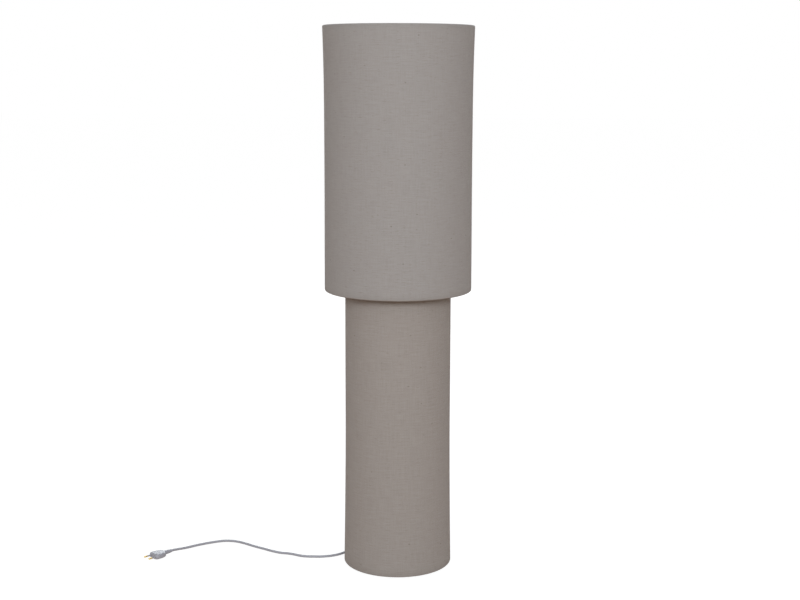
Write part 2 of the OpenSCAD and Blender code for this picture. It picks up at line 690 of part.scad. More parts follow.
// The coil: a flat spiral that winds in, climbs a layer and winds out again
coil_x = 68;
coil_y = foot_r + 74;
coil_low_z = cord_r + 0.9;          // it lies on its tie
coil_out_r = 42;
coil_pitch = cord_d + 0.6;
coil_turns = 5.375;
coil_half = 180 * coil_turns;
coil_steps = 24;
function coil_r(t) = coil_out_r - coil_pitch * (coil_half - abs(t - coil_half)) / 360;
function smooth(s) = let (c = max(0, min(1, s))) c * c * (3 - 2 * c);
function coil_z(t) = coil_low_z + coil_pitch * smooth((t - coil_half + 90) / 180);
function coil_point(t) = [coil_x + coil_r(t) * cos(t), coil_y + coil_r(t) * sin(t), coil_z(t)];
function coil_way(t) = [-sin(t), cos(t), 0];
coil_end_t = 360 * coil_turns;
coil_start = coil_point(0) - 8 * coil_way(0);
coil_end = coil_point(coil_end_t) + 8 * coil_way(coil_end_t);
coil_path = concat([coil_start],
    [for (i = [0:coil_turns * coil_steps]) coil_point(360 * i / coil_steps)], [coil_end]);
coil_gap = min([for (i = [0:len(coil_path) - 8], j = [i + 7:len(coil_path) - 1])
    norm(coil_path[i] - coil_path[j])]) - cord_d;
echo("least gap of the coil to itself", coil_gap);  // cord_coil

// Route points are given from the piece that the cord lies next to
function from(place, steps) = [for (v = steps) place + v];
lead_path = concat([grommet_tip, grommet_tip + 7 * outward],
    from(grommet_tip, [[9, 12, -1], [13, 19, -3.6], [16, 26, -7.2], [18, 34, -11.4]]),
    from(coil_start, [[0, -23, 2.9], [0, -15, 0.7], [0, -7, 0]]), [coil_start]);
switch_right = [switch_x + switch_end, switch_y, nozzle_z];
switch_left = [switch_x - switch_end, switch_y, nozzle_z];
link_path = concat([coil_end, coil_end + 6 * coil_way(coil_end_t)],
    from(switch_right, [[26, 3.4, 1.3], [19, 0.9, 0.9], [12, 0, 0.4], [7, 0, 0]]), [switch_right]);
// The tail rounds the column, then swings out to its left: [left of the column's side, back, up]
tail_route = [[-9, 164, 0], [-9, 148, 0], [-9, 132, 0], [-10, 116, 0], [-11, 100, 0], [-11, 86, 0],
    [-10, 74, 0], [-9, 64, 0], [-7, 54, 0], [-2, 44, 0], [6, 34, 0], [16, 25, 0], [29, 17, 0],
    [43, 12, 0], [59, 9, 0], [75, 9, 0], [91, 10, 0], [105, 13, 0], [117, 19, 0], [129, 26, 0],
    [143, 31, 0], [159, 35, 0], [173, 42, 0], [188, 52, 0], [203, 63, 0], [219, 74, 0],
    [235, 86, 0], [251, 99, 0], [268, 111, 0], [283, 118, 0], [299, 121, 0], [315, 119, 0],
    [330, 113, 0], [344, 106, 0], [358, 98, 0], [372, 89, 0], [385, 79, 0], [398, 68, 0.4],
    [410, 57, 1.8], [421, 46, 3.4]];
tail_path = concat([switch_left], from(switch_left, [[-7, 0, 0], [-15, -2, -1.6], [-23, -7, -3.8],
    [-29, -15, -5.4], [-33, -25, -6], [-35, -37, -6]]),
    [for (v = tail_route) [-foot_r - v[0], v[1], cord_r + v[2]]],
    [plug_entry - 8 * [cos(plug_turn), sin(plug_turn), 0], plug_entry]);

module cord_lead() color(white_plastic) tube(lead_path, cord_r, cord_sides);
module cord_coil() color(white_plastic) tube(coil_path, cord_r, 6);
module cord_link() color(white_plastic) tube(link_path, cord_r, cord_sides);
module cord_tail() color(white_plastic) tube(tail_path, cord_r, cord_sides);

// The tie holds the turns of the coil on the side towards the column
tie_angle = 250;
tie_w = 5;
tie_t = 0.8;
tie_passes = [for (k = [0:coil_turns]) let (t = tie_angle + 360 * k) if (t < coil_end_t) coil_r(t)];
tie_r0 = min(tie_passes) - cord_r - 0.4;
tie_r1 = max(tie_passes) + cord_r + 0.4;
tie_z1 = coil_low_z + coil_pitch + cord_r + 0.3;
module cord_tie() color(liner_white) translate([coil_x, coil_y, 0]) rotate([0, 0, tie_angle])
    rotate([90, 0, 0]) translate([0, 0, -tie_w / 2]) linear_extrude(height = tie_w) difference() {
        union() {
            translate([tie_r0 - tie_t, 0]) square([tie_r1 - tie_r0 + 2 * tie_t, tie_z1 + tie_t]);
            translate([tie_r1, tie_z1 - 3]) square([7, tie_t]);
        }
        translate([tie_r0, tie_t]) square([tie_r1 - tie_r0, tie_z1 - tie_t]);
    }

// ---- Plug, lying flat where the cord ends ----

plug_w = 35;
plug_l = 34;
relief_l = 20;
module at_plug() translate(plug_entry) rotate([0, 0, plug_turn]) children();

module plug_body() color(white_plastic) at_plug() {
    difference() {
        union() {
            rotate([0, 90, 0]) cylinder(r1 = cord_r + 1, r2 = cord_r + 2.6, h = relief_l + 2);
            translate([relief_l, 0, -plug_t / 2]) intersection() {
                linear_extrude(height = plug_t) polygon([[0, -7.5], [5, -12.5], [13, -16], [22, -plug_w / 2],
                    [28, -plug_w / 2], [plug_l, -13], [plug_l, 13], [28, plug_w / 2],
                    [22, plug_w / 2], [13, 16], [5, 12.5], [0, 7.5]]);
                translate([0, 0, plug_t / 2]) rotate([0, 90, 0]) linear_extrude(height = plug_l) union() {
                    square([plug_t, plug_w - plug_t], center = true);
                    for (s = [-1, 1]) translate([0, s * (plug_w - plug_t) / 2]) circle(d = plug_t);
                }
            }
        }
        for (i = [0:3]) translate([4 + 4 * i, -10, 2.2]) cube([1.6, 20, 10]);
    }
}

module plug_pins() color([0.85, 0.8, 0.6]) at_plug() for (s = [-1, 1])
    translate([relief_l + plug_l, s * pin_spacing / 2, 0]) rotate([0, 90, 0])
        rotate_extrude() polygon([[0, 0], [pin_d / 2, 0], [pin_d / 2, pin_l - 1.2],
            [pin_d / 2 - 0.8, pin_l], [0, pin_l]]);

base_plate();
base_pads();
base_washer();
base_nut();
base_nipple();
centre_tube();
top_nipple();
column_nut();
column_bottom_ring();
column_spider();
column_liner();
column_fabric();
cord_grip();
cord_grip_bar();
cord_grip_screws();
wall_grommet();
inner_cord();
holder_cap();
holder_skirt();
holder_insert();
holder_thread_shell();
holder_contact();
lower_shade_nut();
upper_shade_nut();
bulb_cap();
bulb_body();
bulb_globe();
shade_carrier();
shade_top_ring();
shade_liner();
shade_fabric();
switch_base();
switch_cover();
switch_button();
switch_spring();
switch_contacts();
switch_screws();
cord_lead();
cord_coil();
cord_link();
cord_tail();
cord_tie();
plug_body();
plug_pins();
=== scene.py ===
import math
from collections import namedtuple

import bmesh
import bpy
import numpy as np
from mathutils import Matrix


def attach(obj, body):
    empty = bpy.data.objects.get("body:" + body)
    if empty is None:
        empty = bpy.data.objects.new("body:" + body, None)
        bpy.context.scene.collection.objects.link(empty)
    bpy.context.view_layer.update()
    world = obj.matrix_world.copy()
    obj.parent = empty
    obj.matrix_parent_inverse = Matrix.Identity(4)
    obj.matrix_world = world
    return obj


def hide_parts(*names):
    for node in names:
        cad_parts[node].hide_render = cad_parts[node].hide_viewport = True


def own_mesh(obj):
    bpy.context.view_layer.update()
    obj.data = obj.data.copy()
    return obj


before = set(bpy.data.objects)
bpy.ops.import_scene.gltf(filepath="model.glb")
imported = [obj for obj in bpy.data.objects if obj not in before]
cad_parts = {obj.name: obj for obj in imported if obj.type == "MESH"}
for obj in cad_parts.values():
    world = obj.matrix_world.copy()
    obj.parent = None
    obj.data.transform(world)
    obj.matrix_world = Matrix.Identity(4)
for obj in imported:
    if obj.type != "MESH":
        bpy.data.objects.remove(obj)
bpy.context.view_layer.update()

# ---- The view ----
# The picture was taken from 3.2 metres away and a little below the shade's top rim, looking
# slightly down, with a lens of about 62 mm. Lengths are in metres from here on.

camera_away, camera_up, lens_mm = 3.1924, 1.1851, 61.58
look_down, roll, pan = 9.644, -0.15, -0.060             # in degrees

bpy.context.scene.view_settings.view_transform = "Standard"
camera = bpy.data.objects.new("view", bpy.data.cameras.new("view"))
bpy.context.scene.collection.objects.link(camera)
bpy.context.scene.camera = camera
camera.data.sensor_width = 36
camera.data.lens = lens_mm
camera.location = (0, -camera_away, camera_up)
camera.rotation_euler = [math.radians(angle) for angle in (90 - look_down, roll, pan)]


# ---- Floor and light ----
# A sweep that looks white and throws warm light back, and soft light: nearly half of it comes from
# all round, less of it from overhead, the rest from a wide panel in front and a weaker one behind.

white = (1, 1, 1, 1)
room_low, room_high = 0.705, 0.355          # the strength of the light near the horizon and overhead
fade_from, fade_to = 0.2, 0.8               # the sines of the heights between which it changes
panel_wide, panel_tall = 3.3, 1.1
panel_aside, panel_away, panel_up = 0.14, 5.0, 2.35
panel_down, panel_turn = 18.5, 1.6          # in degrees
panel_tint = (0.958, 1.03, 1.065)           # cool, against the floor's warm light
front_watts, back_watts = 152, 101
floor_half, floor_z = 30, -0.0002           # half its width, and its height, just under the felt pads
floor_warm = (0.46, 0.30, 0.20, 1)          # for the light that the floor throws back
# what is seen is a grey that keeps the object's shadow, brought up to white by a glow of its own
floor_grey, floor_glow = (0.26, 0.26, 0.26, 1), 0.88


def put(tree, kind, inputs=None, **options):
    """Adds a node to a tree, sets its options, and sets or links its inputs."""
    made = tree.nodes.new(kind)
    for key, value in options.items():
        setattr(made, key, value)
    for key, value in (inputs or {}).items():
        if isinstance(value, bpy.types.NodeSocket):
            tree.links.new(value, made.inputs[key])
        else:
            made.inputs[key].default_value = value
    return made


def calc(tree, operation, *terms):
    """One step of arithmetic on numbers or sockets, as a socket."""
    return put(tree, "ShaderNodeMath", dict(enumerate(terms)), operation=operation).outputs[0]


def ramp(tree, value, start, end, low=0.0, high=1.0):
    """Runs straight from low to high while the value goes from start to end, and is level outside."""
    return put(tree, "ShaderNodeMapRange", {"Value": value, "From Min": start, "From Max": end,
                                            "To Min": low, "To Max": high}).outputs[0]


def by_ray(tree, lighting, seen):
    """The first shader for light that falls on a matt surface, and the second for rays that come from
    the camera, a reflection or glass."""
    ray = put(tree, "ShaderNodeLightPath").outputs
    mirrored = calc(tree, "MAXIMUM", ray["Is Glossy Ray"], ray["Is Transmission Ray"])
    direct = calc(tree, "MAXIMUM", ray["Is Camera Ray"], mirrored)
    return put(tree, "ShaderNodeMixShader",
               {0: direct, 1: lighting.outputs[0], 2: seen.outputs[0]}).outputs[0]


def soft_panel(name, watts, place, turn):
    """A wide lamp that looks towards the column and a little down, turned by so many degrees from +Y."""
    panel = bpy.data.objects.new(name, bpy.data.lights.new(name, "AREA"))
    bpy.context.scene.collection.objects.link(panel)
    panel.data.shape = "RECTANGLE"
    panel.data.size = panel_wide
    panel.data.size_y = panel_tall
    panel.data.energy = watts
    panel.data.color = panel_tint
    panel.location = place
    panel.rotation_euler = (math.radians(90 - panel_down), 0, math.radians(turn))


room = bpy.data.worlds.new("studio")
bpy.context.scene.world = room
room.use_nodes = True
room.node_tree.nodes.clear()
toward = put(room.node_tree, "ShaderNodeTexCoord").outputs["Generated"]
upward = put(room.node_tree, "ShaderNodeSeparateXYZ", {0: toward}).outputs["Z"]
strength = ramp(room.node_tree, upward, fade_from, fade_to, room_low, room_high)
all_round = put(room.node_tree, "ShaderNodeBackground", {"Color": white, "Strength": strength})
backdrop = put(room.node_tree, "ShaderNodeBackground", {"Color": white, "Strength": 1.0})
put(room.node_tree, "ShaderNodeOutputWorld", {"Surface": by_ray(room.node_tree, all_round, backdrop)})

soft_panel("front_panel", front_watts, (panel_aside, -panel_away, panel_up), panel_turn)
soft_panel("back_panel", back_watts, (-panel_aside, panel_away, panel_up), 180 + panel_turn)

floor_mesh = bpy.data.meshes.new("floor")
floor_mesh.from_pydata([(x * floor_half, y * floor_half, floor_z)
                        for x, y in ((-1, -1), (1, -1), (1, 1), (-1, 1))], [], [(0, 1, 2, 3)])
floor = bpy.data.objects.new("floor", floor_mesh)
bpy.context.scene.collection.objects.link(floor)
sweep = bpy.data.materials.new("sweep")
sweep.use_nodes = True
sweep.node_tree.nodes.clear()
warm = put(sweep.node_tree, "ShaderNodeBsdfDiffuse", {"Color": floor_warm})
grey = put(sweep.node_tree, "ShaderNodeBsdfDiffuse", {"Color": floor_grey})
glow = put(sweep.node_tree, "ShaderNodeEmission", {"Color": white, "Strength": floor_glow})
shown = put(sweep.node_tree, "ShaderNodeAddShader", {0: grey.outputs[0], 1: glow.outputs[0]})
put(sweep.node_tree, "ShaderNodeOutputMaterial", {"Surface": by_ray(sweep.node_tree, warm, shown)})
floor_mesh.materials.append(sweep)


# ---- Base ----
# A round steel plate, powder coated white, stands on four pads of pressed felt. Under it a nut
# and a washer on a hollow threaded nipple pull the centre tube down against the plate.

def tint(red, green, blue):
    """A colour given as a screen shows it, 0 to 255, as linear light: with c its share of 255,
    ((c + 0.055) / 1.055) to the power of 2.4, and c / 12.92 in the darkest tones."""
    c = np.array([red, green, blue]) / 255
    linear = np.where(c <= 0.04045, c / 12.92, ((c + 0.055) / 1.055) ** 2.4)
    return (*linear.tolist(), 1.0)


def new_group(name, inputs, outputs):
    """An empty node group with inputs of the given kinds and outputs that are numbers, and its
    sockets as its own nodes see them."""
    group = bpy.data.node_groups.new(name, "ShaderNodeTree")
    for label, kind in inputs.items():
        group.interface.new_socket(label, in_out="INPUT", socket_type=kind)
    for label in outputs:
        group.interface.new_socket(label, in_out="OUTPUT", socket_type="NodeSocketFloat")
    return group, put(group, "NodeGroupInput").outputs, put(group, "NodeGroupOutput").inputs


def grain_group():
    """Grain is noise at the grain's size, Mottle is soft noise at a larger size, and Dust is the cube
    of how far the surface faces up, times the mottle."""
    group, given, result = new_group(
        "grain", {"Grain size": "NodeSocketFloat", "Mottle size": "NodeSocketFloat"},
        ("Grain", "Mottle", "Dust"))
    place = put(group, "ShaderNodeTexCoord").outputs["Object"]

    def noise(size, detail):
        """Noise with 1 / size cells to the metre."""
        cells = calc(group, "DIVIDE", 1, given[size])
        return put(group, "ShaderNodeTexNoise",
                   {"Vector": place, "Scale": cells, "Detail": detail}).outputs["Fac"]

    fine, broad = noise("Grain size", 3.0), noise("Mottle size", 4.0)
    facing = put(group, "ShaderNodeNewGeometry").outputs["Normal"]
    up = put(group, "ShaderNodeSeparateXYZ", {0: facing}).outputs["Z"]
    level = calc(group, "POWER", calc(group, "MAXIMUM", up, 0), 3)
    dust = calc(group, "MULTIPLY", level, broad)
    for label, socket in (("Grain", fine), ("Mottle", broad), ("Dust", dust)):
        group.links.new(socket, result[label])
    return group


def mix_colour(tree, share, first, second):
    """The first colour where share is 0 and the second where it is 1, as a socket."""
    mixer = put(tree, "ShaderNodeMix", data_type="RGBA")
    colour_sockets = mixer.inputs[0], mixer.inputs[6], mixer.inputs[7]
    for socket, value in zip(colour_sockets, (share, first, second)):
        if isinstance(value, bpy.types.NodeSocket):
            tree.links.new(value, socket)
        else:
            socket.default_value = value
    return mixer.outputs[2]


def new_material(name):
    """A new material, its node tree and its shader."""
    made = bpy.data.materials.new(name)
    made.use_nodes = True
    return made, made.node_tree, made.node_tree.nodes["Principled BSDF"]


def finish(name, light, dark, rough, grain_size, depth, mottle_size=0.03, dust=0.12, **fixed):
    """A material whose colour wavers between two tints, whose roughness wavers between two values, and
    whose relief is grain of that size and depth, with a little dust where it faces up. fixed sets
    other values on the shader."""
    made, tree, shader = new_material(name)
    effect = put(tree, "ShaderNodeGroup", {"Grain size": grain_size, "Mottle size": mottle_size},
                 node_tree=grain).outputs
    tone = mix_colour(tree, effect["Mottle"], dark, light)
    dusty = mix_colour(tree, calc(tree, "MULTIPLY", effect["Dust"], dust), tone, dust_tint)
    relief = put(tree, "ShaderNodeBump", {"Height": effect["Grain"], "Distance": depth}).outputs[0]
    # nearly all of a noise lies between 0.3 and 0.7
    wander = ramp(tree, effect["Mottle"], 0.3, 0.7, *rough)
    for key, socket in (("Base Color", dusty), ("Roughness", wander), ("Normal", relief)):
        tree.links.new(socket, shader.inputs[key])
    for key, value in fixed.items():
        shader.inputs[key.replace("_", " ")].default_value = value
    return made


def dress(material, *nodes):
    """Gives CAD pieces that keep their shape a material."""
    for node in nodes:
        for material_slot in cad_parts[node].material_slots:
            material_slot.material = material


grain = grain_group()
dust_tint = tint(168, 162, 152)
powder_coat = finish("powder_coat", tint(236, 235, 230), tint(224, 223, 218), rough=(0.38, 0.5),
                     grain_size=0.0008, depth=0.00003, Coat_Weight=0.15, Coat_Roughness=0.3)
felt = finish("felt", tint(96, 90, 86), tint(62, 58, 55), rough=(0.95, 1.0),
              grain_size=0.0006, depth=0.0004, mottle_size=0.004, Sheen_Weight=0.4)
zinc = finish("zinc", tint(205, 206, 209), tint(178, 180, 184), rough=(0.28, 0.42),
              grain_size=0.0012, depth=0.00001, mottle_size=0.008, Metallic=1.0)
dress(powder_coat, "base_plate")
dress(felt, "base_pads")
dress(zinc, "base_washer", "base_nut", "base_nipple")

# ---- Centre tube ----
# A steel tube, powder coated white, stands on the plate. At its top a second threaded nipple and
# a thin nut clamp the hub of the column's spider, and the lampholder's cap screws on above.

dress(powder_coat, "centre_tube")
dress(zinc, "top_nipple", "column_nut")

# ---- Column wires ----
# Two rings of 4 mm steel wire stretch the column's cover. The upper one carries three spokes
# and the hub, welded together and coated white, and the lower one lies loose in the hem.

wire_coat = finish("wire_coat", tint(238, 237, 232), tint(226, 225, 219), rough=(0.34, 0.46),
                   grain_size=0.0009, depth=0.00004, Coat_Weight=0.2, Coat_Roughness=0.25)
dress(wire_coat, "column_spider", "column_bottom_ring")

# ---- Column liner ----
# A stiff white plastic film, 0.6 mm thick, rolled to a drum and lapped at the back, to which
# the linen is glued. The glue shows through it as faint clouds and ripples.

film = finish("liner_film", tint(240, 239, 234), tint(229, 227, 221), rough=(0.42, 0.6),
              grain_size=0.004, depth=0.00006, mottle_size=0.05)
dress(film, "column_liner")

# ---- Column linen ----
# Warm grey linen in plain weave, glued to the liner and rolled round the ring at each rim, with
# its turned-in edge glued inside. It closes in a narrow folded lap at the back.

thread_pitch, thread_relief = 0.00072, 0.00016      # between two threads, and how far they stand out
linen_rosy, linen_slub = tint(163, 155, 152), tint(138, 130, 123)
# the gap colour is painted shade between the threads and along the lap's folded edge, and the darker tone
# where the hem lies double
linen_fleck, linen_shade_and_hem = tint(104, 92, 82), tint(110, 102, 96)


def weave_group():
    """Threads run along u and v, and sway a little. A thread's height is the size of the sine of its
    own phase, and the product of both sines says which of the two passes over. Yarn is noise drawn out
    along both threads, Slub the crests of a finer one, Fleck a dot in one of five cells of a random
    pattern, and Cloud broad noise."""
    group, given, result = new_group(
        "linen_weave", {"Cloth": "NodeSocketVector", "Pitch": "NodeSocketFloat"},
        ("Height", "Yarn", "Slub", "Fleck", "Cloud"))
    cloth = given["Cloth"]
    sway_cells, sway_reach = 160.0, 0.0009
    weft_share, warp_share = 0.6, 0.4

    def noise(place, cells, detail):
        """Noise with so many cells to the metre."""
        return put(group, "ShaderNodeTexNoise", {"Vector": place, "Scale": cells, "Detail": detail})

    def vector(operation, first, second):
        """One step of arithmetic on vectors, as a socket."""
        key = "Scale" if operation == "SCALE" else 1
        return put(group, "ShaderNodeVectorMath", {0: first, key: second}, operation=operation).outputs[0]

    def drawn_out(along_u, along_v, detail):
        """Noise with so many cells to the metre along u and along v."""
        return noise(vector("MULTIPLY", cloth, (along_u, along_v, 1)), 1.0, detail).outputs["Fac"]

    sway = noise(cloth, sway_cells, 1.0).outputs["Color"]
    aside = vector("SCALE", vector("SUBTRACT", sway, (0.5, 0.5, 0.5)), sway_reach)
    axes = put(group, "ShaderNodeSeparateXYZ", {0: vector("ADD", cloth, aside)}).outputs
    step = calc(group, "DIVIDE", math.pi, given["Pitch"])
    warp, weft = (calc(group, "SINE", calc(group, "MULTIPLY", axes[axis], step)) for axis in "XY")
    over = calc(group, "MULTIPLY_ADD", calc(group, "MULTIPLY", warp, weft), 0.5, 0.5)
    under = calc(group, "SUBTRACT", 1, over)
    warp_height = calc(group, "MULTIPLY", calc(group, "ABSOLUTE", warp), over)
    weft_height = calc(group, "MULTIPLY", calc(group, "ABSOLUTE", weft), under)

    weft_yarn = calc(group, "MULTIPLY", drawn_out(26, 460, 3.0), weft_share)
    warp_yarn = calc(group, "MULTIPLY", drawn_out(440, 24, 2.0), warp_share)
    cells = put(group, "ShaderNodeTexVoronoi",
                {"Vector": vector("MULTIPLY", cloth, (34, 74, 1)), "Scale": 1.0}).outputs
    draw = put(group, "ShaderNodeSeparateColor", {0: cells["Color"]}).outputs[0]
    dot = ramp(group, cells["Distance"], 0.09, 0.04)
    effects = {"Height": calc(group, "MAXIMUM", warp_height, weft_height),
               "Yarn": calc(group, "ADD", weft_yarn, warp_yarn),
               "Slub": ramp(group, drawn_out(70, 760, 0.0), 0.7, 0.78),
               "Fleck": calc(group, "MULTIPLY", dot, calc(group, "GREATER_THAN", draw, 0.8)),
               "Cloud": noise(cloth, 9.0, 2.0).outputs["Fac"]}
    for label, socket in effects.items():
        group.links.new(socket, result[label])
    return group


def linen_finish(name, light, dark):
    """Painted shade deep between the threads, light on their backs, streaked by the yarn, with slubs and
    flecks, a shade darker where the hem lies double behind it, and a painted shadow, darkest along the
    lap's folded edge."""
    made, tree, shader = new_material(name)
    cloth = put(tree, "ShaderNodeUVMap", uv_map="cloth").outputs[0]
    out = put(tree, "ShaderNodeGroup", {"Cloth": cloth, "Pitch": thread_pitch}, node_tree=weave).outputs
    hem, fold_shadow = (put(tree, "ShaderNodeAttribute", attribute_name=mask).outputs["Fac"]
                 for mask in ("hem", "fold_shadow"))

    tone = mix_colour(tree, ramp(tree, out["Yarn"], 0.28, 0.72), dark, light)
    for mask, share, colour in ((out["Cloud"], 0.3, linen_rosy), (out["Slub"], 0.5, linen_slub),
                                (out["Fleck"], 0.7, linen_fleck)):
        tone = mix_colour(tree, calc(tree, "MULTIPLY", mask, share), tone, colour)
    # painted shade deep between the threads
    tone = mix_colour(tree, ramp(tree, out["Height"], 0.0, 0.6, 0.45, 0.0), tone, linen_shade_and_hem)
    # the hem's darker tone, and a painted shadow along the lap's folded edge
    for mask, share in ((hem, 0.10), (fold_shadow, 0.6)):
        tone = mix_colour(tree, calc(tree, "MULTIPLY", mask, share), tone, linen_shade_and_hem)
    tree.links.new(tone, shader.inputs["Base Color"])

    raised = calc(tree, "MULTIPLY_ADD", out["Slub"], 0.8, out["Height"])
    raised = calc(tree, "MULTIPLY_ADD", out["Yarn"], 0.5, raised)
    relief = put(tree, "ShaderNodeBump", {"Height": raised, "Distance": thread_relief})
    tree.links.new(relief.outputs[0], shader.inputs["Normal"])
    for key, value in (("Roughness", 0.9), ("Specular IOR Level", 0.25), ("Sheen Weight", 0.12),
                       ("Sheen Roughness", 0.5)):
        shader.inputs[key].default_value = value
    return made


weave = weave_group()
# the column's copy of the linen is tinted a little darker and warmer than the shade's: painted shade for
# the lower column
column_cloth_painted_shade = linen_finish("column_cloth_painted_shade", tint(169, 163, 159), tint(152, 145, 140))


def surface(name, p, hollow, uv=None, sharp=50, masks=None):
    """A mesh over the grid p[row, column], in which every four neighbours span a face. The columns
    close round. So do the rows of a hollow piece, and otherwise the first and the last row get a flat
    cap. uv has one line more than p in each closed direction. If the enclosed volume, a sixth of the
    sum of a . (b x c) over all the triangles, the caps' too, is below 0, the faces turn round. Edges
    bent by more than sharp, in degrees, look sharp, and masks are named values at the points."""
    rows, columns = p.shape[:2]
    i, j = np.meshgrid(np.arange(rows if hollow else rows - 1), np.arange(columns), indexing="ij")
    i2, j2 = (i + 1) % rows, (j + 1) % columns
    quads = np.stack([i * columns + j, i * columns + j2, i2 * columns + j2, i2 * columns + j], -1)
    quads = quads.reshape(-1, 4)
    points = p.reshape(-1, 3)
    if uv is None:
        u, v = np.meshgrid(np.arange(columns + 1) / columns, np.arange(rows + 1) / rows)
        uv = np.stack([u, v], -1)
    corner = np.stack([uv[i, j], uv[i, j + 1], uv[i + 1, j + 1], uv[i + 1, j]], -2).reshape(-1, 4, 2)

    a, b, c, d = (points[quads[:, k]] for k in range(4))
    volume = (a * np.cross(b, c)).sum() + (a * np.cross(c, d)).sum()
    if not hollow:
        first, last = ((ring[0] * np.cross(ring[1:-1], ring[2:])).sum() for ring in (p[0], p[-1]))
        volume += last - first
    way = -1 if volume < 0 else 1
    faces, corner_uv = quads[:, ::way].tolist(), corner[:, ::way].reshape(-1, 2)
    if not hollow:
        ring = np.arange(columns)
        caps = np.array([ring[::-1], ring + (rows - 1) * columns])
        faces += caps[:, ::way].tolist()
        corner_uv = np.concatenate([corner_uv, np.zeros((2 * columns, 2))])

    mesh = bpy.data.meshes.new(name)
    mesh.from_pydata(points.tolist(), [], faces)
    mesh.uv_layers.new(name="cloth").data.foreach_set("uv", corner_uv.astype(np.float32).ravel())
    for label, values in (masks or {}).items():
        mask = mesh.attributes.new(label, "FLOAT", "POINT")
        mask.data.foreach_set("value", values.astype(np.float32).ravel())
    mesh.polygons.foreach_set("use_smooth", np.ones(len(faces), bool))
    mesh.set_sharp_from_angle(angle=math.radians(sharp))
    made = bpy.data.objects.new(name, mesh)
    bpy.context.scene.collection.objects.link(made)
    return made


def unit(vectors):
    """Vectors along the last axis, at length 1."""
    return vectors / np.linalg.norm(vectors, axis=-1, keepdims=True)


def run_along(points):
    """How far each point of a line is from its start: the sum of the chords before it."""
    return np.concatenate([[0], np.cumsum(np.linalg.norm(np.diff(points, axis=0), axis=1))])


# heights of the rims, widths there and at the waist, the waist's height, how the wall widens from it
Drum = namedtuple("Drum", "low high low_d waist_d top_d waist_z low_power top_power")


def drum_radius(drum, z):
    """The outside radius at a height: half the waist's width, plus half of what the nearer rim is
    wider, times a power of the share of the way from the waist to it."""
    below = z < drum.waist_z
    share = np.abs((drum.waist_z - z) / (drum.waist_z - np.where(below, drum.low, drum.high)))
    wider = np.where(below, drum.low_d, drum.top_d) - drum.waist_d
    return (drum.waist_d + wider * share ** np.where(below, drum.low_power, drum.top_power)) / 2


# how thick the cloth, the film, the glue and the ring's wire are, and how far the edge is turned in
linen_t, film_t, glue_t, ring_wire, turned_in = 0.0007, 0.0006, 0.0001, 0.004, 0.010
lip_r = (2 * linen_t + film_t + ring_wire + 3 * glue_t) / 2


def linen_line(drum):
    """The cloth's middle line as (radius, height): up inside the bottom rim, half round its lip, up
    the wall, half round the top lip and down inside. The lips are half circles of radius
    lip_r - linen_t / 2."""
    def rim(z, up):
        """The lip at one rim and the turned-in edge after it; up is 1 at the top and -1 below."""
        r, centre = lip_r - linen_t / 2, drum_radius(drum, z) - lip_r
        bend = np.linspace(0, math.pi, 15)
        lip = np.stack([centre + r * np.cos(bend), z + up * r * np.sin(bend)], -1)
        edge_z = z - up * np.array([ring_wire / 2, 0.0045, 0.006, 0.008, turned_in])
        edge_r = drum_radius(drum, edge_z) - (1.5 * linen_t + film_t + 2 * glue_t)
        edge_r[:2] = centre - r, (centre - r + edge_r[2]) / 2
        return np.concatenate([lip, np.stack([edge_r, edge_z], -1)])

    low, high = drum.low + lip_r, drum.high - lip_r
    z = np.linspace(low, high, 46)[1:-1]
    wall = np.stack([drum_radius(drum, z) - linen_t / 2, z], -1)
    return np.concatenate([rim(low, -1)[::-1], wall, rim(high, 1)])


lap_width, lap_rise, wave_swell, pucker_swell, pucker_fade = 0.012, 0.0003, 0.00022, 0.00010, 0.015


